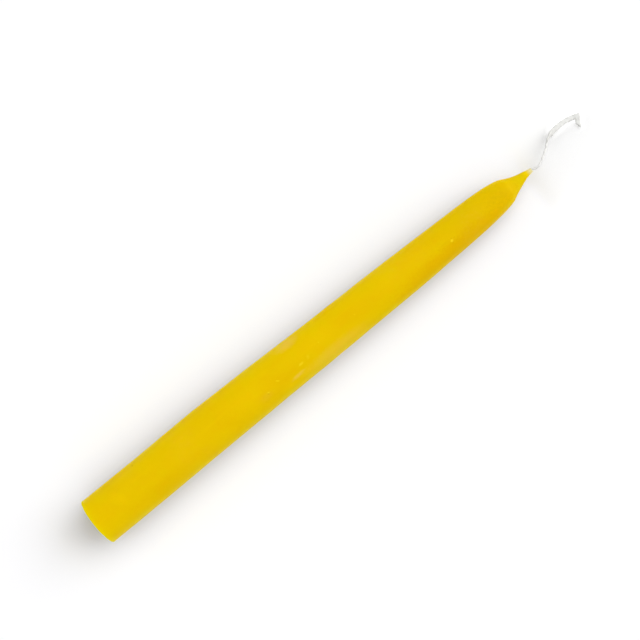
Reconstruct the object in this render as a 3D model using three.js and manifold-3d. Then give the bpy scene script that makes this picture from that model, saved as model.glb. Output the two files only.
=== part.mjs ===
// Beeswax taper candle, lying on its side: a turned wax body, the plaited cotton wick that runs through it,
// and the free end of the wick, which leaves the tip and comes down to the surface beside it.
// Millimetres. +X runs from the butt to the tip, +Z is up from the surface that the candle lies on, and the
// origin is on that surface, under the middle of the wax.
import * as THREE from "three";
import { mergeVertices } from "three/addons/utils/BufferGeometryUtils.js";
import Module from "manifold-3d";

const wasm = await Module();
wasm.setup();

// Wax body, from the butt to the tip
const buttDiameter = 22.2; // the 7/8 inch that candle holders' cups take
const buttEdgeRadius = 0.4;
const parallelLength = 60; // the stretch that goes into a holder's cup and a little above it
const taperLength = 130;
const taperEndDiameter = 17.5;
const ogiveLength = 38.5; // rounds in from the taper to the shoulder
const ogiveFullness = 0.82; // share of the ogive's length after which its two tangents meet
const shoulderDiameter = 11.3;
const noseLength = 13.5;
const noseHollow = 1.05; // how far the nose's guide point lies inside a straight cone
const noseGuide = 0.38; // where that point lies, as a share of the nose's length
const facets = 32; // an even number, so that one flat facet faces down
const curveSteps = 6;

// Wick: three bundles of cotton yarn in a flat plait, set on edge in the wax
const bundleDiameter = 0.52;
const bundleSides = 6;
const bundleClearance = 0.12; // between two bundles where they cross
const wickWidth = 2.4;
const plaitRepeat = 9; // length in which a bundle crosses the plait and comes back
const stepsPerRepeat = 12; // one step for each 30 degrees, so that the crossings fall on a step
const channelClearance = 0.15; // between the plait and the wax
const filmWall = 0.2; // film of wax that climbs the wick at the tip
const filmLength = 5;

// Free end of the wick
const exitGap = 0.3;
const restGap = 0.05; // under the cord, where it lies on the surface
const cutAngle = (45 * Math.PI) / 180; // the wick's end is snipped on a slant, with its left edge the longer

// Route of the free end, each point as [ahead of the tip, to the left, height, quarter turn]. The height is a
// share of the tip's height over the cord's height at rest. The turn goes from 0, on edge, to 1, flat. The
// wick sags to the surface, and is folded sharply back at the third point from its end.
const freeRoute = [
  [exitGap, 0, 1, 0],
  [1, -0.15, 1, 0],
  [2.1, -0.7, 0.99, 0.04],
  [3.8, -0.8, 0.97, 0.08],
  [5.8, -0.15, 0.92, 0.1],
  [7.9, 0.95, 0.85, 0.12],
  [10.1, 2.25, 0.76, 0.12],
  [12.1, 3.55, 0.66, 0.1],
  [13.8, 4.9, 0.57, 0.05],
  [15.1, 5.9, 0.49, 0.1],
  [16.8, 6.5, 0.41, 0.45],
  [18.8, 6.9, 0.32, 0.85],
  [21.1, 7.2, 0.23, 1],
  [23.5, 7.3, 0.14, 1],
  [25.8, 7.25, 0.08, 1],
  [28.2, 6.9, 0.03, 1],
  [30.3, 6.35, 0, 1],
  [32.4, 5.65, 0, 1],
  [31.2, 3.75, 0, 1],
  [30, 1.8, 0, 1],
];

// Derived sizes
const buttRadius = buttDiameter / 2;
const taperEndRadius = taperEndDiameter / 2;
const shoulderRadius = shoulderDiameter / 2;
const wickThickness = 2 * bundleDiameter + bundleClearance;
const channelWidth = wickWidth + 2 * channelClearance;
const channelThickness = wickThickness + 2 * channelClearance;
const tipRadius = channelThickness / 2 + filmWall;
const taperEnd = parallelLength + taperLength;
const ogiveEnd = taperEnd + ogiveLength;
const waxLength = ogiveEnd + noseLength;
const taperSlope = (buttRadius - taperEndRadius) / taperLength;

// Materials
const beeswax = new THREE.MeshStandardMaterial({ color: "#e8c000", roughness: 0.45, metalness: 0 });
const waxedCotton = new THREE.MeshStandardMaterial({ color: "#d9c68c", roughness: 0.8, metalness: 0 });
const bareCotton = new THREE.MeshStandardMaterial({ color: "#ebebe6", roughness: 0.95, metalness: 0 });

// A closed geometry as a solid, and back.
function solidOf(geometry) {
  const bare = new THREE.BufferGeometry();
  bare.setAttribute("position", geometry.getAttribute("position"));
  bare.setIndex(geometry.getIndex());
  const merged = mergeVertices(bare, 1e-5);
  const vertProperties = merged.getAttribute("position").array;
  const triVerts = new Uint32Array(merged.getIndex().array);
  return new wasm.Manifold(new wasm.Mesh({ numProp: 3, vertProperties, triVerts }));
}

function geometryOf(solid) {
  const { vertProperties, triVerts } = solid.getMesh();
  const geometry = new THREE.BufferGeometry();
  geometry.setAttribute("position", new THREE.BufferAttribute(vertProperties, 3));
  geometry.setIndex(new THREE.BufferAttribute(triVerts, 1));
  geometry.computeVertexNormals();
  return geometry;
}

// A strip's section with round edges, its width along Y and its thickness along X.
function stripSection(width, thickness, edgeSteps) {
  const radius = thickness / 2;
  const middle = width / 2 - radius;
  const corners = [];
  for (const side of [1, -1]) {
    for (let i = 0; i <= edgeSteps; i++) {
      const angle = (Math.PI * i) / edgeSteps;
      const across = radius * Math.cos(angle);
      const along = middle + radius * Math.sin(angle);
      corners.push(new THREE.Vector2(side * across, side * along));
    }
  }
  return new THREE.Shape(corners);
}

// A strip on edge along +X, from start to end, for cutting the wick's channel and for the film at the tip.
function stripOnEdge(width, thickness, edgeSteps, start, end) {
  const section = stripSection(width, thickness, edgeSteps);
  const strip = new THREE.ExtrudeGeometry(section, { depth: end - start, bevelEnabled: false });
  // The section's width turns from Y to Z and the extrusion from Z to X.
  const turn = new THREE.Matrix4().set(0, 0, 1, start, 1, 0, 0, 0, 0, 1, 0, 0, 0, 0, 0, 1);
  return strip.applyMatrix4(turn);
}

// Half of the wax body's outline as [radius, distance from the butt], turned about the candle's axis.
function waxOutline() {
  const guideFromTaper = ogiveFullness * ogiveLength;
  const guideRadius = taperEndRadius - taperSlope * guideFromTaper;
  const noseGuideRadius = shoulderRadius + (tipRadius - shoulderRadius) * noseGuide - noseHollow;
  const outline = new THREE.Path();
  outline.moveTo(0, 0);
  outline.lineTo(buttRadius - buttEdgeRadius, 0);
  outline.quadraticCurveTo(buttRadius, 0, buttRadius, buttEdgeRadius);
  outline.lineTo(buttRadius, parallelLength);
  outline.lineTo(taperEndRadius, taperEnd);
  outline.quadraticCurveTo(guideRadius, taperEnd + guideFromTaper, shoulderRadius, ogiveEnd);
  outline.quadraticCurveTo(noseGuideRadius, ogiveEnd + noseGuide * noseLength, tipRadius, waxLength);
  outline.lineTo(0, waxLength);
  return outline.getPoints(curveSteps);
}

// The turned body with the film of wax round the wick at its tip, less the wick's channel.
function makeWaxBody() {
  const turned = new THREE.LatheGeometry(waxOutline(), facets, Math.PI / facets);
  turned.rotateZ(-Math.PI / 2);
  const filmWidth = channelWidth + 2 * filmWall;
  const film = stripOnEdge(filmWidth, 2 * tipRadius, curveSteps, waxLength - filmLength, waxLength);
  const overrun = 1;
  const channel = stripOnEdge(channelWidth, channelThickness, curveSteps, -overrun, waxLength + overrun);
  const solid = solidOf(turned).add(solidOf(film)).subtract(solidOf(channel));
  return new THREE.Mesh(geometryOf(solid), beeswax);
}

// One bundle of the plait. It swings across the wick once in each repeat and in and out twice, and each bundle
// is a third of a repeat on from the one before it. Across the wick it lies at swing * sin(a), and through it
// at lift * sin(2a) / sin(60 degrees).
function makeBundle(index) {
  const swing = (wickWidth - bundleDiameter) / 2;
  const lift = (bundleDiameter + bundleClearance) / 2;
  const stepLength = plaitRepeat / stepsPerRepeat;
  const steps = Math.round(waxLength / stepLength);
  const section = new THREE.Shape();
  section.absarc(0, 0, bundleDiameter / 2, 0, 2 * Math.PI, false);
  const geometry = new THREE.ExtrudeGeometry(section, {
    depth: steps,
    steps,
    curveSegments: bundleSides / 2,
    bevelEnabled: false,
  });
  const position = geometry.getAttribute("position");
  for (let i = 0; i < position.count; i++) {
    const ring = Math.round(position.getZ(i));
    const along = ring === steps ? waxLength : ring * stepLength;
    const angle = 2 * Math.PI * (along / plaitRepeat + index / 3);
    const depth = position.getX(i) + (lift * Math.sin(2 * angle)) / Math.sin(Math.PI / 3);
    const width = position.getY(i) + swing * Math.sin(angle);
    position.setXYZ(i, along, depth, width);
  }
  geometry.computeVertexNormals();
  return new THREE.Mesh(geometry, waxedCotton);
}

// The free end: a flat strip with a ring of its section at each point of the route, mitred between the two
// legs that meet there, and turned from on edge at the wax to flat on the surface.
function makeFreeWick(tip) {
  const rest = wickThickness / 2 + restGap;
  const points = freeRoute.map(
    ([ahead, left, share]) => new THREE.Vector3(tip.x + ahead, left, rest + share * (tip.z - rest)),
  );
  const end = points.length - 1;
  const legs = points.slice(1).map((point, i) => point.clone().sub(points[i]).normalize());
  const section = stripSection(wickWidth, wickThickness, 3);
  const geometry = new THREE.ExtrudeGeometry(section, { depth: end, steps: end, bevelEnabled: false });
  const position = geometry.getAttribute("position");
  const up = new THREE.Vector3(0, 0, 1);
  for (let i = 0; i < position.count; i++) {
    const [thick, wide] = [position.getX(i), position.getY(i)];
    const ring = Math.round(position.getZ(i));
    const before = legs[Math.max(ring - 1, 0)];
    const after = legs[Math.min(ring, end - 1)];
    const tangent = new THREE.Vector3().addVectors(before, after).normalize();
    const left = new THREE.Vector3().crossVectors(up, tangent).normalize();
    const over = new THREE.Vector3().crossVectors(tangent, left);
    const turn = (Math.PI / 2) * freeRoute[ring][3];
    const leftward = (wide * Math.sin(turn) + thick * Math.cos(turn)) / before.dot(tangent);
    const upward = wide * Math.cos(turn) - thick * Math.sin(turn);
    const place = points[ring].clone().addScaledVector(left, leftward).addScaledVector(over, upward);
    if (ring === end) place.addScaledVector(tangent, leftward * Math.tan(cutAngle));
    position.setXYZ(i, place.x, place.y, place.z);
  }
  geometry.computeVertexNormals();
  return new THREE.Mesh(geometry, bareCotton);
}

const part = new THREE.Group();

// Wax and buried wick, tilted nose down until the taper's lowest facet lies flat on the surface.
const candle = new THREE.Group();
part.add(candle);

const waxBody = makeWaxBody();
waxBody.name = "wax_body";
candle.add(waxBody);

for (const index of [0, 1, 2]) {
  const bundle = makeBundle(index);
  bundle.name = `wick_bundle_${index + 1}`;
  candle.add(bundle);
}

const facetFlat = Math.cos(Math.PI / facets); // a facet's distance from the axis, as a share of the radius
const restAngle = Math.atan(taperSlope * facetFlat);
candle.rotation.y = restAngle;
candle.position.z = parallelLength * Math.sin(restAngle) + buttRadius * facetFlat * Math.cos(restAngle);
candle.updateMatrixWorld(true);
const extent = new THREE.Box3().setFromObject(candle, true);
candle.position.x = -(extent.min.x + extent.max.x) / 2;
candle.updateMatrixWorld(true);

const tip = new THREE.Vector3(waxLength, 0, 0).applyMatrix4(candle.matrixWorld);
const freeWick = makeFreeWick(tip);
freeWick.name = "wick_free";
part.add(freeWick);

export default part;
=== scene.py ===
"""A beeswax taper candle lying on its side on a pale floor: the poured wax with its mottled satin skin, the
flat cotton plait that runs through it, and the bare end of that plait, sagging to the floor and folded near
its tip.

Lengths are in metres. +X runs from the butt to the tip and +Z is up. Distances "along" are measured down the
candle's axis from its butt, or down the wick from the tip of the wax."""
import math

import bpy
import numpy as np
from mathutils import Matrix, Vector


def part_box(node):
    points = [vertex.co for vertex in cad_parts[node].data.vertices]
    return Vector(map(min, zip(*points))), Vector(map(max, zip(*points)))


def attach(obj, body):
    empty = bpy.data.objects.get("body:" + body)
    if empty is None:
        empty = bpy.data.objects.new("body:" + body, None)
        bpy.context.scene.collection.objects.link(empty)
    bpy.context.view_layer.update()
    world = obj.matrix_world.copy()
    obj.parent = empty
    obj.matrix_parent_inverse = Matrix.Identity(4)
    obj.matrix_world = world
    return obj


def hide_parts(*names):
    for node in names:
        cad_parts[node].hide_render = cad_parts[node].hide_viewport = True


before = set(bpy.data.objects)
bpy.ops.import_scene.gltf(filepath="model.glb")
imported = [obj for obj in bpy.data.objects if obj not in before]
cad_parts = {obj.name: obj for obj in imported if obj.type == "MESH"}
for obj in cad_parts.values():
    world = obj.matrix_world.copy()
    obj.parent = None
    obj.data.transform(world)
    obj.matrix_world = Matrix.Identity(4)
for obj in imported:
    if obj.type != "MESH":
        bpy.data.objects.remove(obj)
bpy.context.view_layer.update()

MM = 0.001

# Wax, from the butt to the tip
BUTT_RADIUS = 11.1 * MM
BUTT_EDGE = 0.4 * MM
PARALLEL_LENGTH = 60 * MM
TAPER_LENGTH = 130 * MM
TAPER_END_RADIUS = 8.75 * MM
OGIVE_LENGTH = 38.5 * MM
OGIVE_FULLNESS = 0.82  # share of the ogive's length after which its two tangents meet
SHOULDER_RADIUS = 5.65 * MM
NOSE_LENGTH = 13.5 * MM
NOSE_HOLLOW = 1.05 * MM  # how far the nose's guide point lies inside a straight cone
NOSE_GUIDE = 0.38  # where that point lies, as a share of the nose's length
CAD_FACETS = 32
TAPER_END = PARALLEL_LENGTH + TAPER_LENGTH
OGIVE_END = TAPER_END + OGIVE_LENGTH
WAX_LENGTH = OGIVE_END + NOSE_LENGTH
TAPER_SLOPE = (BUTT_RADIUS - TAPER_END_RADIUS) / TAPER_LENGTH

# Wick: three strands in a flat plait, on edge in the wax
WICK_WIDTH = 2.4 * MM
WICK_THICKNESS = 1.16 * MM
STRANDS = 3
PLAIT_REPEAT = 9 * MM
STRAND_HALF_WIDTH = 0.62 * MM
STRAND_HALF_DEPTH = 0.285 * MM
STRAND_SQUARENESS = 0.7  # power of the sine in a strand's depth: 1 is an oval, and less is squarer
STRAND_LIFT = 0.22 * MM
EDGE_LINGER = 0.15  # makes a strand linger at the plait's edge, so that the edge comes out straight
STRAND_SWING = WICK_WIDTH / 2 - STRAND_HALF_WIDTH
YARNS = 7
YARN_RELIEF = 0.07
YARN_TWIST = 14 * MM
TWIST_STEP = 0.2  # how much quicker the yarns wind in each strand than in the one before it
CORE_HALF_WIDTH = 1.06 * MM
CORE_HALF_DEPTH = 0.45 * MM
CORE_SQUARENESS = 0.8
CUT_ANGLE = math.radians(45)
CUT_REACH = 1.2 * MM  # stretch before the cut over which strands and core lean to its slant
CORE_SHORT = 0.3 * MM  # how far the core ends before the cut
LEAD_IN = 1.5 * MM  # how far inside the wax the free wick's mesh begins
BURIED_START = 0.12 * MM  # how far inside the butt the strands in the wax begin
BURIED_SHORT = 0.1 * MM  # how far they end before the free wick's mesh
REST_GAP = 0.05 * MM  # between the free wick and the floor where it lies down
BURIED_RINGS, BURIED_SIDES = 440, 16
FREE_RINGS, FREE_SIDES = 220, 32
CORE_RINGS, CORE_SIDES = 260, 24

# Wax round the wick
CAD_CHANNEL_CLEARANCE = 0.15 * MM  # between the plait and its channel in the solid
CHANNEL_CLEARANCE = 0.05 * MM  # and in the finished wax
FILM_WALL = 0.2 * MM  # wax on the wick at the solid's tip
FILM_RADIUS = WICK_THICKNESS / 2 + CAD_CHANNEL_CLEARANCE + FILM_WALL

# Route of the free wick: (ahead of the tip, to the left, share of the tip's height, quarter turn off edge)
WICK_ROUTE = [
    (0.0003, 0.0, 1.0, 0.0),
    (0.0010, -0.00015, 1.0, 0.0),
    (0.0021, -0.0007, 0.99, 0.04),
    (0.0038, -0.0008, 0.97, 0.08),
    (0.0058, -0.00015, 0.92, 0.1),
    (0.0079, 0.00095, 0.85, 0.12),
    (0.0101, 0.00225, 0.76, 0.12),
    (0.0121, 0.00355, 0.66, 0.1),
    (0.0138, 0.0049, 0.57, 0.05),
    (0.0151, 0.0059, 0.49, 0.1),
    (0.0168, 0.0065, 0.41, 0.45),
    (0.0188, 0.0069, 0.32, 0.85),
    (0.0211, 0.0072, 0.23, 1.0),
    (0.0235, 0.0073, 0.14, 1.0),
    (0.0258, 0.00725, 0.08, 1.0),
    (0.0282, 0.0069, 0.03, 1.0),
    (0.0303, 0.00635, 0.0, 1.0),
    (0.0324, 0.00565, 0.0, 1.0),
    (0.0312, 0.00375, 0.0, 1.0),
    (0.0300, 0.0018, 0.0, 1.0),
]
FOLD = 17  # the point of the route where the wick is folded back
FOLD_REACH = 2.5 * MM
ROUTE_SPACING = 0.1 * MM

# Place of the candle: tilted nose down until the taper lies along the floor
CAD_FLAT = math.cos(math.pi / CAD_FACETS)
TILT = math.atan(TAPER_SLOPE * CAD_FLAT)
AXIS_HEIGHT = PARALLEL_LENGTH * math.sin(TILT) + BUTT_RADIUS * CAD_FLAT * math.cos(TILT)
BUTT_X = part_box("wax_body")[0].x + (BUTT_RADIUS - BUTT_EDGE) * math.sin(TILT)
TIP = np.array([BUTT_X + WAX_LENGTH * math.cos(TILT), 0.0, AXIS_HEIGHT - WAX_LENGTH * math.sin(TILT)])

# View
CAMERA_PLACE = (8.7 * MM, 6.9 * MM, 623 * MM)
CAMERA_TURN = math.radians(-38.98)
CAMERA_LENS = 79.48
CAMERA_SENSOR = 36.0
CAMERA_CLIP = (0.01, 20)


# Camera


def set_camera():
    """Overhead camera, looking straight down, turned so that the candle runs up to the right."""
    camera = bpy.data.objects.new("overhead_camera", bpy.data.cameras.new("overhead_camera"))
    camera.data.sensor_width = CAMERA_SENSOR
    camera.data.lens = CAMERA_LENS
    camera.data.clip_start, camera.data.clip_end = CAMERA_CLIP
    camera.location = CAMERA_PLACE
    camera.rotation_euler = (0, 0, CAMERA_TURN)
    bpy.context.scene.collection.objects.link(camera)
    bpy.context.scene.camera = camera


# Meshes


def piece_from(name, points, faces, material, uv=None, tones=None):
    """Object from arrays of points and faces (three or four corners, all alike or a list of two arrays),
    smooth shaded. uv gives a pair and tones one number for each point."""
    faces = faces if isinstance(faces, list) else [faces]
    mesh = bpy.data.meshes.new(name)
    corners = np.concatenate([block.ravel() for block in faces]).astype(np.int32)
    sizes = np.concatenate([np.full(len(block), block.shape[1]) for block in faces]).astype(np.int32)
    starts = np.concatenate([[0], np.cumsum(sizes)[:-1]]).astype(np.int32)
    mesh.vertices.add(len(points))
    mesh.vertices.foreach_set("co", np.asarray(points, np.float32).ravel())
    mesh.loops.add(len(corners))
    mesh.loops.foreach_set("vertex_index", corners)
    mesh.polygons.add(len(sizes))
    mesh.polygons.foreach_set("loop_start", starts)
    mesh.polygons.foreach_set("use_smooth", np.ones(len(sizes), bool))
    if uv is not None:
        layer = mesh.uv_layers.new(name="lay")
        layer.data.foreach_set("uv", np.asarray(uv, np.float32)[corners].ravel())
    if tones is not None:
        tone = mesh.attributes.new("tone", "FLOAT", "POINT")
        tone.data.foreach_set("value", np.asarray(tones, np.float32))
    mesh.update(calc_edges=True)
    mesh.validate()
    mesh.materials.append(material)
    piece = bpy.data.objects.new(name, mesh)
    bpy.context.scene.collection.objects.link(piece)
    return piece


def ring_faces(rows, columns, closed_rows=False):
    """Four-cornered faces of a grid of points whose columns wrap round, and whose rows do too if closed."""
    row = np.arange(rows if closed_rows else rows - 1)[:, None] * columns
    after = (row + columns) % (rows * columns)
    column = np.arange(columns)[None, :]
    beside = (column + 1) % columns
    corners = [row + column, row + beside, after + beside, after + column]
    return np.stack(np.broadcast_arrays(*corners), axis=-1).reshape(-1, 4)


def capped_tube(rings):
    """Points, side faces and end faces of a tube given as rings of points that run clockwise when seen along
    it. Each end is closed by a fan round the middle of its ring."""
    rows, columns = rings.shape[:2]
    points = np.concatenate([rings.reshape(-1, 3), rings[[0, -1]].mean(axis=1)])
    side = np.arange(columns)
    beside = (side + 1) % columns
    last_ring, first_middle = (rows - 1) * columns, rows * columns
    start = np.stack([side, beside, np.full(columns, first_middle)], axis=-1)
    end = np.stack([beside + last_ring, side + last_ring, np.full(columns, first_middle + 1)], axis=-1)
    return points, ring_faces(rows, columns)[:, ::-1], np.concatenate([start, end])


def smooth_line(knots, spacing):
    """Curve through the knots, at even spacing. Between two knots each number follows a cubic whose slope at
    a knot is that of the line through its neighbours. The first three numbers of a knot are its place."""
    step = np.linalg.norm(np.diff(knots[:, :3], axis=0), axis=1)
    at = np.concatenate([[0], np.cumsum(step)])
    slope = np.gradient(knots, at, axis=0)
    where = np.linspace(0, at[-1], round(at[-1] / spacing) + 1)
    i = np.clip(np.searchsorted(at, where, side="right") - 1, 0, len(step) - 1)
    f = ((where - at[i]) / step[i])[:, None]
    h = step[i][:, None]
    rise = knots[i] * (1 + 2 * f) * (1 - f) ** 2 + slope[i] * h * f * (1 - f) ** 2
    fall = knots[i + 1] * f**2 * (3 - 2 * f) - slope[i + 1] * h * f**2 * (1 - f)
    return rise + fall


def ease(value, low, high):
    """0 below low, 1 above high, and between them the smooth step 3s squared - 2s cubed of the share s."""
    share = np.clip((value - low) / (high - low), 0, 1)
    return share**2 * (3 - 2 * share)


def squarer(wave, squareness):
    """A cosine or sine to a power below 1, with its sign kept, which fills out the corners of a round."""
    return np.sign(wave) * np.abs(wave) ** squareness


def smooth_maximum(a, b, rounding):
    """The greater of two numbers, rounded off where they cross: half of a + b + the root of (a - b) squared
    plus rounding squared."""
    return (a + b + np.sqrt((a - b) ** 2 + rounding**2)) / 2


def unit(vectors):
    """The vectors over their own lengths."""
    return vectors / np.linalg.norm(vectors, axis=-1, keepdims=True)


def to_part(along, across, height):
    """Points in the part's frame from the distance down the candle's axis, to its left and above it."""
    x = BUTT_X + along * math.cos(TILT) + height * math.sin(TILT)
    z = AXIS_HEIGHT - along * math.sin(TILT) + height * math.cos(TILT)
    return np.stack(np.broadcast_arrays(x, across, z), axis=-1)


# Wick


def leg_of_route(knots):
    """Centre, widthway and depthway directions of one smooth leg of the free wick. The width stands up from
    the leg where the quarter turn is 0, and lies to its left where it is 1."""
    line = smooth_line(knots, ROUTE_SPACING)
    centre, turn = line[:, :3], line[:, 3:] * math.pi / 2
    ahead = unit(np.gradient(centre, axis=0))
    left = unit(np.cross([0, 0, 1], ahead))
    over = np.cross(ahead, left)
    return centre, over * np.cos(turn) + left * np.sin(turn), left * np.cos(turn) - over * np.sin(turn)


def free_route():
    """The free wick's route as arrays: distance from the tip, centre, widthway and depthway direction. On
    both sides of the fold the width swings over to the line that halves the angle between the legs, so that
    the two legs meet in a sharp mitre."""
    rest = WICK_THICKNESS / 2 + REST_GAP
    ahead, left, share, turn = np.array(WICK_ROUTE).T
    knots = np.stack([TIP[0] + ahead, TIP[1] + left, rest + share * (TIP[2] - rest), turn], axis=-1)
    down_axis = np.array([math.cos(TILT), 0, -math.sin(TILT)])
    inside = np.array([[*(TIP - reach * down_axis), 0] for reach in (LEAD_IN, 0)])
    first = leg_of_route(np.concatenate([inside, knots[: FOLD + 1]]))
    second = leg_of_route(knots[FOLD:])
    before, after = first[1][-1], second[1][0]
    mitre = (before + after) / (1 + before @ after)
    centre, widthway, depthway = (np.concatenate([a, b[1:]]) for a, b in zip(first, second))
    step = np.linalg.norm(np.diff(centre, axis=0), axis=1)
    at = np.concatenate([[0], np.cumsum(step)]) - LEAD_IN
    fold_at = at[len(first[0]) - 1]
    swing = np.clip(1 - np.abs(at - fold_at) / FOLD_REACH, 0, 1)[:, None]
    return at, centre, widthway * (1 - swing) + mitre * swing, depthway


def on_route(route, along, across, through):
    """Places points given by their distance down the wick, across its width and through its thickness."""
    at, centre, widthway, depthway = route

    def there(table):
        return np.stack([np.interp(along, at, column) for column in table.T], axis=-1)

    return there(centre) + across[..., None] * there(widthway) + through[..., None] * there(depthway)


def place_in_repeat(along, index):
    """How far a strand is through its repeat of the plait, as an angle: one turn for each repeat, and a third
    of a turn on from the strand before it."""
    return 2 * math.pi * (along / PLAIT_REPEAT + index / STRANDS)


def swing_at(a):
    """A strand's place across the plait: swing * (sin(a) + linger * sin(3a)) / (1 - linger)."""
    return STRAND_SWING * (np.sin(a) + EDGE_LINGER * np.sin(3 * a)) / (1 - EDGE_LINGER)


def strand_rings(index, start, end, rings, sides):
    """One strand of the plait as rings of (along, across, through), from start to end down the candle's axis.
    At the angle a of its repeat the strand swings across as swing_at says, and lies through the plait at
    lift * sin(2a) / sin(60 degrees). Its section is a flattened round, square to the strand's own direction:
    half width * cos by half depth * sin to a power, both times a radius that ripples once for each of its
    yarns, and the yarns wind slowly round."""
    along = np.linspace(start, end, rings)
    a = place_in_repeat(along, index)
    turn_rate = 2 * math.pi / PLAIT_REPEAT
    across = swing_at(a)
    through = STRAND_LIFT * np.sin(2 * a) / math.sin(math.pi / 3)
    lean = turn_rate * STRAND_SWING * (np.cos(a) + 3 * EDGE_LINGER * np.cos(3 * a)) / (1 - EDGE_LINGER)
    climb = 2 * STRAND_LIFT * turn_rate * np.cos(2 * a) / math.sin(math.pi / 3)
    ones = np.ones_like(a)
    ahead = unit(np.stack([ones, lean, climb], axis=-1))
    sideways = unit(np.stack([-lean, ones, 0 * a], axis=-1))
    upright = np.cross(ahead, sideways)
    angle = 2 * np.pi * np.arange(sides) / sides
    wound = YARNS * angle[None, :] + 2 * np.pi * along[:, None] / YARN_TWIST * (1 + TWIST_STEP * index)
    radius = 1 - YARN_RELIEF * (0.5 - 0.5 * np.cos(wound))
    wide = STRAND_HALF_WIDTH * np.cos(angle) * radius
    deep = STRAND_HALF_DEPTH * squarer(np.sin(angle), STRAND_SQUARENESS) * radius
    centre = np.stack([along, across, through], axis=-1)
    return centre[:, None] + wide[..., None] * sideways[:, None] + deep[..., None] * upright[:, None]


def strand_uv(rings, sides, length):
    """Where each point of a strand lies: centimetres down its length, and round it as a share of a turn."""
    down = np.linspace(0, length * 100, rings)[:, None] + np.zeros(sides)
    return np.stack([down, np.zeros((rings, 1)) + np.arange(sides) / sides], axis=-1).reshape(-1, 2)


def buried_strand(index, material):
    """A strand of the wick inside the wax, from the butt to just inside the tip."""
    start, end = BURIED_START, WAX_LENGTH - LEAD_IN - BURIED_SHORT
    rings = strand_rings(index, start, end, BURIED_RINGS, BURIED_SIDES)
    along, across, through = np.moveaxis(rings, -1, 0)
    points, sheath, caps = capped_tube(to_part(along, through, across))
    uv = np.concatenate([strand_uv(BURIED_RINGS, BURIED_SIDES, end - start), np.zeros((2, 2))])
    return piece_from(f"wick_strand_{index + 1}", points, [sheath, caps], material, uv=uv)


def end_of_strand(index, wick_end):
    """Distance down the wick at which a strand's middle meets the slanted cut. Each try goes halfway to the
    distance at which the cut would pass the last try's place across the plait, until they agree."""
    tries = 40
    end = wick_end
    for _ in range(tries):
        a = place_in_repeat(WAX_LENGTH + end, index)
        end = wick_end + 0.5 * (end - wick_end + swing_at(a) * math.tan(CUT_ANGLE))
    return float(end)


def cut_slantwise(along, across, end):
    """Leans the last stretch before the end forward with the distance across, to the slant of the cut."""
    return along + ease(along, end - CUT_REACH, end) * math.tan(CUT_ANGLE) * across


# Loose fibres of the bare cotton
FIBRE_SEED = 7
FIBRES = 60  # on each strand
CUT_FIBRES = 18  # of those, how many stand at the cut
CUT_RINGS = 6  # and on how many of the strand's last rings
FIRST_FIBRE_RING = 8
FIBRE_STEPS, FIBRE_SIDES = 5, 3
FIBRE_LENGTHS = (0.15, 0.6)  # shortest and longest, in millimetres
FIBRE_BEND = 0.35
FIBRE_RADIUS = 0.011 * MM
FIBRE_LEANS = (-1.0, 1.6)  # most back and most ahead, against 1 outwards
CUT_LEANS = (1.2, 3.0)
FIBRE_ROOT = 0.02 * MM  # how deep in the strand a fibre starts
FIBRE_FLOOR = 0.012 * MM  # no fibre goes lower
FIBRE_TONE_AT = 10 * MM  # every fibre is as clean as the cotton at this distance


def loose_fibres(points, outwards, draw):
    """Fine cotton hairs: from each point a spine leaves along the given direction and bends with the square
    of the distance, and rings round it that narrow to 0.3 of their radius make a closed tube. Returns points,
    side faces and end faces."""
    count, steps, sides = len(points), FIBRE_STEPS, FIBRE_SIDES
    share = np.linspace(0, 1, steps)[None, :, None]
    length = draw.uniform(*FIBRE_LENGTHS, (count, 1, 1)) * MM
    bend = draw.normal(0, FIBRE_BEND, (count, 1, 3))
    spine = points[:, None] + length * (outwards[:, None] * share + bend * share**2)
    side = unit(np.cross(outwards, draw.normal(0, 1, (count, 3))))
    up = np.cross(outwards, side)
    angle = 2 * np.pi * np.arange(sides) / sides
    round_it = side[:, None] * np.cos(angle)[:, None] + up[:, None] * np.sin(angle)[:, None]
    rings = spine[:, :, None] + FIBRE_RADIUS * (1 - 0.7 * share[..., None]) * round_it[:, None]
    rings[..., 2] = np.maximum(rings[..., 2], FIBRE_FLOOR)
    offset = (np.arange(count) * steps * sides)[:, None, None]
    sheath = (ring_faces(steps, sides)[None] + offset).reshape(-1, 4)
    ends = np.array([[2, 1, 0], [0, 1, 2]]) + np.array([[0], [(steps - 1) * sides]])
    return rings.reshape(-1, 3), sheath, (ends[None] + offset).reshape(-1, 3)


def fibres_of(strand, draw):
    """Loose fibres of one placed strand, given as its rings. Each starts at a point drawn from the strand's
    sides, some of them near the cut, and leans ahead or back."""
    rings, sides = strand.shape[:2]
    pick = draw.integers(FIRST_FIBRE_RING, rings - 1, FIBRES)
    pick[:CUT_FIBRES] = draw.integers(rings - CUT_RINGS, rings, CUT_FIBRES)
    side = draw.integers(0, sides, FIBRES)
    middle = strand.mean(axis=1, keepdims=True)
    ahead = unit(np.gradient(middle[:, 0], axis=0))[pick]
    lean = draw.uniform(*FIBRE_LEANS, (FIBRES, 1))
    lean[:CUT_FIBRES] = draw.uniform(*CUT_LEANS, (CUT_FIBRES, 1))
    way = unit(unit((strand - middle)[pick, side]) + ahead * lean)
    return loose_fibres(strand[pick, side] - FIBRE_ROOT * way, way, draw)


def tone_down_wick(at, wick_end):
    """Tone of the bare cotton by the distance down the wick, from 0 clean to 1 fully toned: tinged by wax at
    its root, darker from 14 mm down the wick, most at 18 mm and gone by 32 mm, and a little grey at the cut,
    painted shade where the end turns down."""
    root = 0.6 * (1 - ease(at, 0, 2.5 * MM))
    darker_stretch = ease(at, 14 * MM, 18 * MM) * (1 - ease(at, 18 * MM, 32 * MM))
    # the grey at the cut is painted shade of the end where it turns down
    cut = 0.25 * ease(at, wick_end - 2.2 * MM, wick_end + 0.8 * MM)
    return np.maximum(np.maximum(root, darker_stretch), cut)


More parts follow.
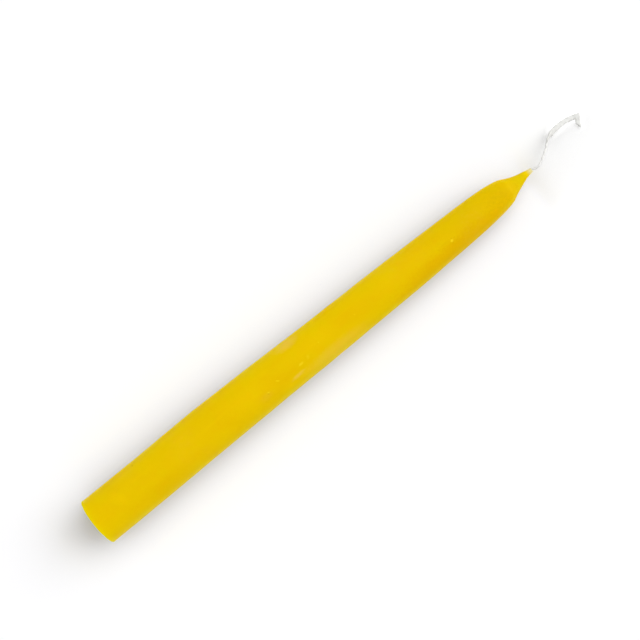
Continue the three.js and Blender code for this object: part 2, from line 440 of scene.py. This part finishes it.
def free_wick(material):
    """The bare end of the wick, and its centre line: the three strands go on down the route in the step of
    the plait, over a flattened round core that fills the hollows between them, each cut where it meets the
    slant, with loose fibres along them and more at the cut."""
    route = free_route()
    wick_end = route[0][-1]
    last = unit(route[1][-1] - route[1][-3])
    draw = np.random.default_rng(FIBRE_SEED)
    points, sheaths, caps, uvs, distances, count = [], [], [], [], [], 0

    def add(tube, sheath, cap, uv, distance):
        nonlocal count
        points.append(tube)
        sheaths.append(sheath + count)
        caps.append(cap + count)
        uvs.append(uv)
        distances.append(distance)
        count += len(tube)

    def add_tube(along, across, through):
        rings, sides = along.shape
        beyond = np.maximum(along - wick_end, 0)
        placed = on_route(route, along, across, through) + beyond[..., None] * last
        uv = np.concatenate([strand_uv(rings, sides, wick_end), np.zeros((2, 2))])
        add(*capped_tube(placed), uv, np.concatenate([along.ravel(), along[[0, -1]].mean(axis=1)]))
        return placed

    core_end = wick_end - CORE_SHORT
    angle = 2 * np.pi * np.arange(CORE_SIDES) / CORE_SIDES
    along, across, through = np.broadcast_arrays(
        np.linspace(-LEAD_IN, core_end, CORE_RINGS)[:, None],
        CORE_HALF_WIDTH * squarer(np.cos(angle), CORE_SQUARENESS),
        CORE_HALF_DEPTH * squarer(np.sin(angle), CORE_SQUARENESS))
    add_tube(cut_slantwise(along, across, core_end), across, through)

    for index in range(STRANDS):
        end = end_of_strand(index, wick_end)
        rings = strand_rings(index, WAX_LENGTH - LEAD_IN, WAX_LENGTH + end, FREE_RINGS, FREE_SIDES)
        along, across, through = np.moveaxis(rings, -1, 0)
        along = cut_slantwise(along - WAX_LENGTH, across - across.mean(axis=1, keepdims=True), end)
        hairs, hair_sides, hair_ends = fibres_of(add_tube(along, across, through), draw)
        add(hairs, hair_sides, hair_ends, np.zeros((len(hairs), 2)), np.full(len(hairs), FIBRE_TONE_AT))

    piece = piece_from("free_wick", np.concatenate(points), [np.concatenate(sheaths), np.concatenate(caps)],
                       material, np.concatenate(uvs), tone_down_wick(np.concatenate(distances), wick_end))
    return piece, route[1][route[0] >= 0]


# Wax

# Skin of the wax: columns go round the axis
SKIN_COLUMNS = 160
FACE_ROWS, RIM_ROWS, BODY_ROWS, NOSE_ROWS, LIP_ROWS, CHANNEL_ROWS = 28, 8, 329, 63, 6, 40

# How hand and mould left the wax, in millimetres: (from the butt, radius more or less, middle line to left)
HANDLING = [
    (0, 0.12, -0.50), (14, 0.10, -0.49), (30, 0.01, -0.32), (45, 0.03, -0.14), (60, 0.01, 0.08),
    (76, 0.07, 0.05), (92, 0.15, 0.00), (108, 0.10, -0.12), (120, 0.14, -0.27), (140, 0.20, -0.30),
    (162, 0.25, -0.34), (178, 0.20, -0.42), (190, 0.06, -0.40), (206, 0.00, -0.36), (222, 0.13, -0.30),
    (233, 0.03, -0.38), (242, 0.02, -0.32),
]

# Waves in the skin, in millimetres: (height, seed, number of waves, longest, shortest, most lobes round)
WAVES = {
    "butt_face": (0.05, 3, 5, 50, 30, 5),
    "swells": (0.055, 11, 16, 90, 14, 3),
    "dimples": (0.014, 12, 40, 12, 3.5, 14),
    "tip": (0.03, 13, 12, 5, 1.5, 3),
    "film_wall": (0.05, 14, 9, 4, 1.5, 2),
    "film_edge": (0.45, 15, 6, 50, 30, 4),
}

# Butt: bells that dish its face, as (depth, width), and the ridges that the cut left across it
FACE_CROWDING = 1.3  # more than 1 crowds the face's rows towards the wick
DISH = [(0.35 * MM, 2.1 * MM), (0.10 * MM, 6 * MM)]
RIDGE_HEIGHT = 0.012 * MM
RIDGE_WIDTH = 0.35 * MM  # for one radian of their sine
RIDGE_TURN = 0.5

# Nicks in the butt's rim: (place round it, depth in millimetres, width round it), angles in radians
NICKS = [(0.6, 0.16, 0.05), (2.2, 0.10, 0.09), (3.9, 0.20, 0.07), (5.1, 0.08, 0.03)]

# Body, and the film of wax on the wick
OVALNESS = 0.003
OVAL_TURN = 0.4
SKIN_WIDE = (1.5 * MM, 5 * MM)  # radius from which swells set in, and at which they are full
SKIN_SINK = 0.12 * MM  # how far the skin is set in before it is rounded into the film
FILM_ROUNDING = 0.3 * MM
FILM_SHARE = 0.8  # share of the solid's wall that the film keeps
FILM_THINNING = 0.45  # share of that which is gone at its edge
TIP_STRETCH = 2.5 * MM  # last stretch, over which the film thins out to an uneven edge
BUTT_STRETCH = 3 * MM  # first stretch, over which the rim's unevenness fades out
FOLLOW_DEPTH = 2.5 * MM  # how far out from the channel the wax fully follows its middle line
TIP_FOLLOW = 0.6  # how far the channel follows it too at the tip, and over how long a stretch
TIP_FOLLOW_LENGTH = 8 * MM
CHANNEL_START, CHANNEL_SHORT = 1.2 * MM, 0.6 * MM  # where the channel's rows end, from butt and from tip


def wax_radius(along):
    """Radius of the turned wax: parallel, then a straight taper, then two quadratic curves, the first bulging
    out to the shoulder and the second hollow down to the film of wax on the wick."""
    share = np.linspace(0, 1, 60)

    def curve(first, guide, last):
        bent = first * (1 - share) ** 2 + 2 * guide * share * (1 - share) + last * share**2
        return bent[1:]

    ogive_guide = OGIVE_FULLNESS * OGIVE_LENGTH
    guide_radius = TAPER_END_RADIUS - TAPER_SLOPE * ogive_guide
    nose_radius = SHOULDER_RADIUS + (FILM_RADIUS - SHOULDER_RADIUS) * NOSE_GUIDE - NOSE_HOLLOW
    at = np.concatenate([[-1 * MM, PARALLEL_LENGTH, TAPER_END],
                         curve(TAPER_END, TAPER_END + ogive_guide, OGIVE_END),
                         curve(OGIVE_END, OGIVE_END + NOSE_GUIDE * NOSE_LENGTH, WAX_LENGTH),
                         [WAX_LENGTH + 2 * MM]])
    radius = np.concatenate([[BUTT_RADIUS, BUTT_RADIUS, TAPER_END_RADIUS],
                             curve(TAPER_END_RADIUS, guide_radius, SHOULDER_RADIUS),
                             curve(SHOULDER_RADIUS, nose_radius, FILM_RADIUS),
                             [FILM_RADIUS]])
    return np.interp(along, at, radius)


def waves(name, along, angle):
    """Sum of cosine waves of random length and phase down the candle, each with a whole number of lobes round
    it, scaled so that the sum comes to about the named height at its highest."""
    height, seed, count, longest, shortest, lobes = WAVES[name]
    draw = np.random.default_rng(seed)
    length = np.exp(draw.uniform(math.log(shortest * MM), math.log(longest * MM), count))
    turns = draw.integers(-lobes, lobes + 1, count)
    phase = draw.uniform(0, 2 * math.pi, count)
    total = sum(np.cos(2 * math.pi * along / length[k] + turns[k] * angle + phase[k]) for k in range(count))
    return height * MM * total / (1.6 * math.sqrt(count))


def oval(angle, half_thickness, half_width):
    """Distance from the wick's axis to an oval round it, a rounded rectangle: 1 over the root of order 2.6 of
    |cos / half thickness| to the power 2.6 plus |sin / half width| to the power 2.6."""
    order = 2.6
    thickway = np.abs(np.cos(angle) / half_thickness) ** order
    wideway = np.abs(np.sin(angle) / half_width) ** order
    return (thickway + wideway) ** (-1 / order)


def butt_face(angle, channel, rim):
    """Rows of the butt's face as (reach, along), from the wick out to the rim. It is dished by two bells,
    depth * exp(-(reach / width) squared), with the sine ridges of a straight cut, and is not quite flat."""
    share = np.linspace(0, 1, FACE_ROWS + 2)[1:-1, None] ** FACE_CROWDING
    reach = channel * (1 - share) + rim * share
    dish = sum(depth * np.exp(-((reach / width) ** 2)) for depth, width in DISH)
    ridges = RIDGE_HEIGHT * np.sin(reach * np.cos(angle - RIDGE_TURN) / RIDGE_WIDTH)
    return reach, dish + ridges * (1 - share**6) + waves("butt_face", 0, angle) * share


def butt_rim(angle, rim):
    """Rows of the rim as (reach, along): a quarter of an ellipse, as wide and deep as the edge, less nicks of
    depth * exp(-(distance round / width) squared)."""
    corner = np.linspace(0, math.pi / 2, RIM_ROWS)[:, None]
    nick = sum(depth * MM * np.exp(-((np.angle(np.exp(1j * (angle - at))) / width) ** 2))
               for at, depth, width in NICKS)
    reach = rim + BUTT_EDGE * np.sin(corner) - 0.5 * nick
    along = BUTT_EDGE * (1 - np.cos(corner)) + waves("butt_face", 0, angle) + nick * np.cos(corner)
    return reach, along


def body_and_nose(angle, channel, handled):
    """Rows of the body, the nose and the film on the wick as (reach, along): the turned radius, made a little
    oval by cos(2 * angle), with swells and dimples where it is wide and finer waves near the tip. The film is
    the channel and a thin uneven wall, and the skin is the smooth maximum of the two."""
    body = np.linspace(BUTT_EDGE, OGIVE_END, BODY_ROWS + 1)[1:]
    nose = np.linspace(OGIVE_END, WAX_LENGTH, NOSE_ROWS + 1)[1:]
    along = np.concatenate([body, nose])[:, None]
    near_tip = ease(along, WAX_LENGTH - TIP_STRETCH, WAX_LENGTH)
    near_butt = 1 - ease(along, 0, BUTT_STRETCH)
    reach = wax_radius(along) + np.interp(along, handled[:, 0], handled[:, 1])
    reach = reach * (1 + OVALNESS * np.cos(2 * angle + OVAL_TURN))
    wide = ease(reach, *SKIN_WIDE)
    reach = reach + wide * (waves("swells", along, angle) + waves("dimples", along, angle))
    reach = reach + (1 - wide) * waves("tip", along, angle)
    wall = FILM_SHARE * FILM_WALL + waves("film_wall", along, angle)
    film = channel + wall * (1 - FILM_THINNING * near_tip)
    reach = smooth_maximum(reach - SKIN_SINK, film, FILM_ROUNDING)
    uneven = waves("film_edge", 0, angle) * near_tip + waves("butt_face", 0, angle) * near_butt
    return reach, along + uneven


def lip_and_channel(angle, channel, last_reach, last_along):
    """Rows that close the skin as (reach, along): half a turn from the film's outside to the channel, then
    back through the channel to the butt."""
    turn = np.linspace(0, math.pi, LIP_ROWS + 1)[1:, None]
    half_wall = (last_reach - channel) / 2
    back = np.linspace(WAX_LENGTH - CHANNEL_SHORT, CHANNEL_START, CHANNEL_ROWS)[:, None]
    reach = np.concatenate([channel + half_wall * (1 + np.cos(turn)), channel + 0 * back])
    along = np.concatenate([last_along + half_wall * np.sin(turn), back + 0 * angle])
    return reach, along


def wax_body(material):
    """The wax as one closed skin on a grid: rows go out over the butt, over its rim, down the body and the
    nose, over the lip of the film on the wick, and back through the wick's channel. The skin follows the
    handled wax's middle line. The channel inside it doesn't, but for a share of it near the tip."""
    angle = (2 * math.pi * np.arange(SKIN_COLUMNS) / SKIN_COLUMNS)[None, :]
    channel = oval(angle, WICK_THICKNESS / 2 + CHANNEL_CLEARANCE, WICK_WIDTH / 2 + CHANNEL_CLEARANCE)
    handled = smooth_line(np.array(HANDLING) * MM, 1 * MM)
    rim = BUTT_RADIUS - BUTT_EDGE + np.interp(0, handled[:, 0], handled[:, 1])
    body_reach, body_along = body_and_nose(angle, channel, handled)
    blocks = [butt_face(angle, channel, rim), butt_rim(angle, rim), (body_reach, body_along),
              lip_and_channel(angle, channel, body_reach[-1:], body_along[-1:])]
    reach, along = (np.concatenate(rows) for rows in zip(*blocks))
    outside = ease(reach - channel, 0, FOLLOW_DEPTH)
    follow = np.maximum(outside, TIP_FOLLOW * ease(along, WAX_LENGTH - TIP_FOLLOW_LENGTH, WAX_LENGTH))
    aside = np.interp(along, handled[:, 0], handled[:, 2]) * follow
    points = to_part(along, reach * np.cos(angle) + aside, reach * np.sin(angle))
    points[..., 2] = np.maximum(points[..., 2], 0)
    faces = ring_faces(len(reach), SKIN_COLUMNS, closed_rows=True)
    return piece_from("taper_wax", points.reshape(-1, 3), faces, material)


# Materials


def node(tree, kind, inputs=None, **settings):
    """A new node with its settings, and its inputs by name or number as values or as other nodes' sockets."""
    made = tree.nodes.new(kind)
    for name, value in settings.items():
        setattr(made, name, value)
    for key, value in (inputs or {}).items():
        if isinstance(value, bpy.types.NodeSocket):
            tree.links.new(value, made.inputs[key])
        else:
            made.inputs[key].default_value = value
    return made


def finish_called(name):
    """A new material, its node tree and its Principled shader."""
    material = bpy.data.materials.new(name)
    material.use_nodes = True
    return material, material.node_tree, material.node_tree.nodes["Principled BSDF"]


def worked_out(tree, operation, first, second):
    """One sum, product or the like of two numbers, each a value or a socket."""
    return node(tree, "ShaderNodeMath", {0: first, 1: second}, operation=operation).outputs[0]


def times(tree, first, second):
    """The product of two numbers."""
    return worked_out(tree, "MULTIPLY", first, second)


def plus(tree, first, second):
    """The sum of two numbers."""
    return worked_out(tree, "ADD", first, second)


def blend_colours(tree, share, first, second):
    """The first colour where the share is 0, the second where it is 1, and a straight mix between."""
    return node(tree, "ShaderNodeMix", {0: share, 6: first, 7: second}, data_type="RGBA").outputs[2]


def stretch(tree, value, low, high, start=0.0, end=1.0):
    """Maps low..high to start..end with a smooth step, held at both ends."""
    ends = {"Value": value, 1: low, 2: high, 3: start, 4: end}
    return node(tree, "ShaderNodeMapRange", ends, interpolation_type="SMOOTHSTEP").outputs[0]


def grain(tree, place, scale, detail=3.0, roughness=0.55):
    """Noise of about 1 / scale metres in size."""
    looks = {"Vector": place, "Scale": scale, "Detail": detail, "Roughness": roughness}
    return node(tree, "ShaderNodeTexNoise", looks).outputs[0]


def stretched(tree, place, scale, turn=0.0):
    """Coordinates scaled unevenly, and turned about Z, so that a pattern on them comes out drawn out."""
    spread = {"Vector": place, "Rotation": (0, 0, turn), "Scale": scale}
    return node(tree, "ShaderNodeMapping", spread).outputs[0]


def own_place(tree):
    """The place of a point in the part's frame, and its x."""
    place = node(tree, "ShaderNodeTexCoord").outputs["Object"]
    return place, node(tree, "ShaderNodeSeparateXYZ", {0: place}).outputs[0]


AMBER = (0.795, 0.565, 0.0, 1)
DEEP_AMBER = (0.775, 0.505, 0.0, 1)
# painted shade for the candle's right side
SIDE_SHADE = (0.750, 0.460, 0.0, 1)
# painted shade that darkens the nose, which faces the lamps
NOSE_SHADE = (0.660, 0.465, 0.0, 1)
LEMON = (0.850, 0.610, 0.0, 1)
BLOOM = (0.825, 0.570, 0.060, 1)
GLINT = (0.905, 0.720, 0.030, 1)
# darker amber for small dark specks and a faint band across the nose
DARK_MARK = (0.640, 0.420, 0.0, 1)
FILM = (0.830, 0.740, 0.360, 1)

# Soft marks on top, in millimetres and degrees: (x, y, half length, half width, turn, strength, colour)
MARKS = [
    # these two: painted shade along the candle's right side, on the taper and near the butt
    (82, -6.5, 48, 5.5, 0, 0.9, SIDE_SHADE),  # darker band along the right of the taper
    (-88, -6, 24, 4, 0, 0.35, SIDE_SHADE),
    # these two: painted shade over the nose and the taper before it
    (115, 0, 20, 14, 0, 1.0, NOSE_SHADE),
    (88, 2, 28, 8, 0, 0.32, NOSE_SHADE),
    (108, 0, 5, 12, 0, 0.35, DARK_MARK),
    (115, 0, 3.5, 8, 0, 0.15, LEMON),
    # these two: painted highlight down the top of the body
    (-36, 0, 17, 5, 0, 0.4, LEMON),
    (0, 1.4, 20, 4, 0, 0.25, LEMON),
    (-105.3, 1.2, 5.5, 3.0, -50, 0.6, LEMON),
    (6.6, -6.8, 18, 3.2, 0, 0.3, BLOOM),
    (-9.1, 7.9, 6, 2.4, 0, 0.6, BLOOM),
    (-29.7, -4.2, 4.0, 2.2, 0, 0.14, BLOOM),
    (-13.2, -5.6, 4.2, 0.9, 5, 0.85, BLOOM),
    (-9.4, -2.6, 1.7, 0.75, 5, 0.6, GLINT),
    (-5.2, -2.1, 1.3, 0.9, 40, 0.3, GLINT),
    (-21.7, -1.9, 1.1, 0.32, -39, 1.0, GLINT),
    (-27.9, -3.4, 0.65, 0.35, -39, 0.9, GLINT),
    (-28.2, -3.85, 0.6, 0.35, -39, 0.7, DARK_MARK),
    (74.1, -2.2, 0.8, 0.7, 30, 1.0, GLINT),
    (74.5, -1.3, 0.5, 0.4, 0, 0.6, DARK_MARK),
    (75.8, -1.8, 0.5, 0.4, 0, 0.5, DARK_MARK),
    (-93.2, 9.0, 0.5, 0.5, 0, 0.6, DARK_MARK),
    (2.2, -0.2, 0.4, 0.4, 0, 0.5, GLINT),
    (21.7, -0.5, 0.4, 0.4, 0, 0.5, GLINT),
]
MARK_HEIGHT = AXIS_HEIGHT + 4 * MM
MARK_HALF_HEIGHT = 11 * MM


def marked(tree, place, colour):
    """The colour with the marks laid over it. Each mark fades out from 0.3 to 1.2 of its half sizes from its
    middle, a little unevenly."""
    ragged = times(tree, plus(tree, grain(tree, place, 900, 3, 0.7), -0.5), 0.9)
    for x, y, half_length, half_width, turn, strength, shade in MARKS:
        lie = {"Vector": place, "Location": (x * MM, y * MM, MARK_HEIGHT),
               "Rotation": (0, 0, math.radians(turn)),
               "Scale": (half_length * MM, half_width * MM, MARK_HALF_HEIGHT)}
        near = node(tree, "ShaderNodeMapping", lie, vector_type="TEXTURE").outputs[0]
        distance = node(tree, "ShaderNodeVectorMath", {0: near}, operation="LENGTH").outputs["Value"]
        share = stretch(tree, plus(tree, distance, ragged), 0.3, 1.2, strength, 0.0)
        colour = blend_colours(tree, share, colour, shade)
    return colour


def beeswax():
    """Beeswax: amber gold, mottled and faintly streaked down the length, paler at the tip and where bloom has
    come up, with small darker marks, soft dents, pinholes and hairline scratches in a satin skin. Painted
    highlight lies along the butt's rim, down the top and in small glints, and painted shade darkens the nose,
    the taper before it and the right side. Light goes into it, and reddest deepest, but not at the thin nose."""
    material, tree, skin = finish_called("beeswax")
    place, x = own_place(tree)
    cloudy = grain(tree, stretched(tree, place, (0.5, 1, 1)), 70, 4)
    streaky = grain(tree, stretched(tree, place, (0.12, 1, 1), 0.02), 420, 3)
    colour = blend_colours(tree, stretch(tree, cloudy, 0.40, 0.68, 0, 0.55), AMBER, DEEP_AMBER)
    colour = blend_colours(tree, stretch(tree, streaky, 0.52, 0.75, 0, 0.25), colour, LEMON)
    colour = marked(tree, place, colour)
    paler_tip = stretch(tree, x, TIP[0] - 5 * MM, TIP[0] - 2 * MM, 0, 0.9)
    # painted highlight along the butt's rim
    rim_highlight = stretch(tree, x, BUTT_X + 2.5 * MM, BUTT_X + 0.5 * MM, 0, 0.8)
    colour = blend_colours(tree, plus(tree, paler_tip, rim_highlight), colour, LEMON)
    on_film = stretch(tree, x, TIP[0] - 2.8 * MM, TIP[0] - 0.2 * MM, 0, 0.9)
    colour = blend_colours(tree, on_film, colour, FILM)
    patches = times(tree, stretch(tree, grain(tree, place, 38, 2), 0.56, 0.72),
                    stretch(tree, grain(tree, place, 600, 4, 0.7), 0.42, 0.68))
    colour = blend_colours(tree, times(tree, patches, 0.12), colour, BLOOM)
    dents = times(tree, grain(tree, place, 260, 3), 0.6)
    pores = times(tree, grain(tree, place, 1300, 4), 0.16)
    pits = stretch(tree, grain(tree, place, 1500, 2), 0.70, 0.78)
    scratches = grain(tree, stretched(tree, place, (0.05, 1, 1), 0.35), 2600, 2)
    scratches = stretch(tree, scratches, 0.66, 0.74)
    hollows = plus(tree, times(tree, pits, -0.35), times(tree, scratches, -0.10))
    surface = plus(tree, plus(tree, dents, pores), hollows)
    bump = node(tree, "ShaderNodeBump", {"Strength": 0.35, "Distance": 0.12 * MM, "Height": surface})
    rough = plus(tree, stretch(tree, cloudy, 0.3, 0.7, 0.44, 0.54), times(tree, patches, 0.12))
    depth_of_light = stretch(tree, x, TIP[0] - 16 * MM, TIP[0] - 3 * MM, 1.0, 0.0)
    tree.links.new(colour, skin.inputs["Base Color"])
    tree.links.new(rough, skin.inputs["Roughness"])
    tree.links.new(bump.outputs[0], skin.inputs["Normal"])
    tree.links.new(depth_of_light, skin.inputs["Subsurface Weight"])
    skin.inputs["Subsurface Radius"].default_value = (1.0, 0.6, 0.1)
    skin.inputs["Subsurface Scale"].default_value = 10 * MM
    skin.inputs["Specular IOR Level"].default_value = 0.06
    skin.inputs["Specular Tint"].default_value = (1.0, 0.8, 0.2, 1)
    skin.inputs["IOR"].default_value = 1.44
    return material


# Cotton: (clean, in the shade between fibres, toned: tinged by wax, darker midway, painted shade at the cut)
BARE_COTTON = ((0.81, 0.81, 0.785, 1), (0.76, 0.76, 0.735, 1), (0.66, 0.655, 0.625, 1))
WAXED_COTTON = ((0.70, 0.56, 0.20, 1), (0.55, 0.40, 0.10, 1), (0.60, 0.45, 0.12, 1))


def cotton(name, colours, roughness):
    """Plaited cotton: each strand's fine fibres run down it and a little round, as bump and as faint light
    and shade, and where the piece carries a tone it goes over to the toned colour."""
    clean, shade, toned = colours
    material, tree, skin = finish_called(name)
    lay = node(tree, "ShaderNodeUVMap", uv_map="lay").outputs[0]
    place = node(tree, "ShaderNodeTexCoord").outputs["Object"]
    fibres = grain(tree, stretched(tree, lay, (5, 60, 1), 0.1), 1.0, 3, 0.7)
    mottle = grain(tree, place, 900, 3)
    colour = blend_colours(tree, stretch(tree, fibres, 0.35, 0.75), clean, shade)
    colour = blend_colours(tree, stretch(tree, mottle, 0.45, 0.75, 0, 0.5), colour, shade)
    tone = node(tree, "ShaderNodeAttribute", attribute_name="tone").outputs["Fac"]
    colour = blend_colours(tree, times(tree, tone, 0.75), colour, toned)
    bump = node(tree, "ShaderNodeBump", {"Strength": 0.4, "Distance": 0.03 * MM, "Height": fibres})
    tree.links.new(colour, skin.inputs["Base Color"])
    tree.links.new(bump.outputs[0], skin.inputs["Normal"])
    skin.inputs["Roughness"].default_value = roughness
    skin.inputs["Specular IOR Level"].default_value = 0.1
    return material


# Floor and light

FLOOR_HALF = 3.0
FLOOR_DROP = 0.02 * MM
FLOOR_COLOUR = (0.93, 0.93, 0.93, 1)  # by which it lights the candle

# Openness of a point of the floor: the share of a dome over it that nothing within reach hides
DOME_SAMPLES = 16
WIDE_REACH = 20 * MM
WAX_POWERS = (0.36, 0.25, -0.04)  # of the wide openness, in red, green and blue
WAX_LIFT = (1.02, 1.02, 1.035)
WICK_LIFT = 1.02
# Beside the wick: (reach, the way the dome faces, power of its openness)
WICK_DOMES = [(20 * MM, (-0.3, 0.7, 0.65), 0.6), (3.5 * MM, (0, 0, 1), -1.4), (2 * MM, (0, 0, 1), -0.35)]
WICK_WIDE_POWER = 0.2


def openness(tree, reach, facing=(0, 0, 1)):
    """The share of a dome over a point that nothing within reach hides. The dome's middle faces as given."""
    way = node(tree, "ShaderNodeCombineXYZ", dict(enumerate(facing))).outputs[0]
    looks = {"Distance": reach, "Normal": way}
    return node(tree, "ShaderNodeAmbientOcclusion", looks, samples=DOME_SAMPLES).outputs["AO"]


def lay_floor():
    """White floor with painted shadow. The camera sees it a little lighter than it lights the candle, so that
    it is white where no shadow falls. Its tone there is a product of powers of its openness, painted shadow
    that only the camera sees. Beside the wax that is the wide openness, to a power for each of red, green and
    blue, which takes the wax's yellow out of the shadow. Beside the wick a dome that leans to the candle's
    left counts for more, painting a soft shadow on the wick's right, and the openness of the smallest domes,
    to a negative power, is painted light that softens the shadow where the cotton nearly touches."""
    across = np.array([[-1, -1, 0], [1, -1, 0], [1, 1, 0], [-1, 1, 0]]) * FLOOR_HALF
    material, tree, _ = finish_called("white_floor")
    wide = openness(tree, WIDE_REACH)
    depths = [worked_out(tree, "POWER", wide, power) for power in WAX_POWERS]
    tinted = node(tree, "ShaderNodeCombineColor", dict(zip(("Red", "Green", "Blue"), depths))).outputs[0]
    lifted = node(tree, "ShaderNodeVectorMath", {0: tinted, 1: WAX_LIFT}, operation="MULTIPLY")
    beside_wick = times(tree, worked_out(tree, "POWER", wide, WICK_WIDE_POWER), WICK_LIFT)
    for reach, facing, power in WICK_DOMES:
        dome = openness(tree, reach, facing)
        beside_wick = times(tree, beside_wick, worked_out(tree, "POWER", dome, power))
    past_tip = stretch(tree, own_place(tree)[1], TIP[0] - 6 * MM, TIP[0] + 2 * MM)
    shaded = blend_colours(tree, past_tip, lifted.outputs[0], beside_wick)
    seen = node(tree, "ShaderNodeLightPath").outputs["Is Camera Ray"]
    matt = node(tree, "ShaderNodeBsdfDiffuse", {"Color": blend_colours(tree, seen, FLOOR_COLOUR, shaded)})
    tree.links.new(matt.outputs[0], tree.nodes["Material Output"].inputs["Surface"])
    piece_from("floor", across - [0, 0, FLOOR_DROP], np.array([[0, 1, 2, 3]]), material)


# Soft lamps: (name, share of the light on the floor, lean from overhead, bearing from +X, width), in degrees
LAMPS = [
    ("high_light", 0.165, 28, 32, 50),
    ("middle_light", 0.18, 48, 6, 60),
    ("low_light", 0.17, 64, -10, 56),
]
SKY_SHARE = 0.49


def light_scene():
    """An even sky and soft discs of light. The sky is white for the eye, for gloss and through glass; sky and
    lamps together light a level white surface to just about white."""
    world = bpy.data.worlds.new("pale_room")
    bpy.context.scene.world = world
    world.use_nodes = True
    tree = world.node_tree
    background = tree.nodes["Background"]
    path = node(tree, "ShaderNodeLightPath").outputs
    seen = worked_out(tree, "MAXIMUM", path["Is Camera Ray"], path["Is Glossy Ray"])
    seen = worked_out(tree, "MAXIMUM", seen, path["Is Transmission Ray"])
    strength = node(tree, "ShaderNodeMapRange", {"Value": seen, 3: SKY_SHARE, 4: 1.0}).outputs[0]
    background.inputs["Color"].default_value = (1, 1, 1, 1)
    tree.links.new(strength, background.inputs["Strength"])
    for name, share, lean, bearing, width in LAMPS:
        lamp = bpy.data.lights.new(name, "SUN")
        lamp.energy = share * math.pi / math.cos(math.radians(lean))
        lamp.angle = math.radians(width)
        holder = bpy.data.objects.new(name, lamp)
        holder.rotation_euler = (0, math.radians(lean), math.radians(bearing))
        bpy.context.scene.collection.objects.link(holder)


set_camera()

bare_cotton = cotton("bare_cotton", BARE_COTTON, 0.95)
waxed_cotton = cotton("waxed_cotton", WAXED_COTTON, 0.6)

wick, wick_path = free_wick(bare_cotton)
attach(wick, "root")
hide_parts("wick_free")

for number in range(STRANDS):
    strand = buried_strand(number, waxed_cotton)
    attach(strand, "root")
    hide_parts(f"wick_bundle_{number + 1}")

wax = wax_body(beeswax())
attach(wax, "root")
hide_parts("wax_body")

lay_floor()
light_scene()
bpy.context.scene.view_settings.view_transform = "Standard"
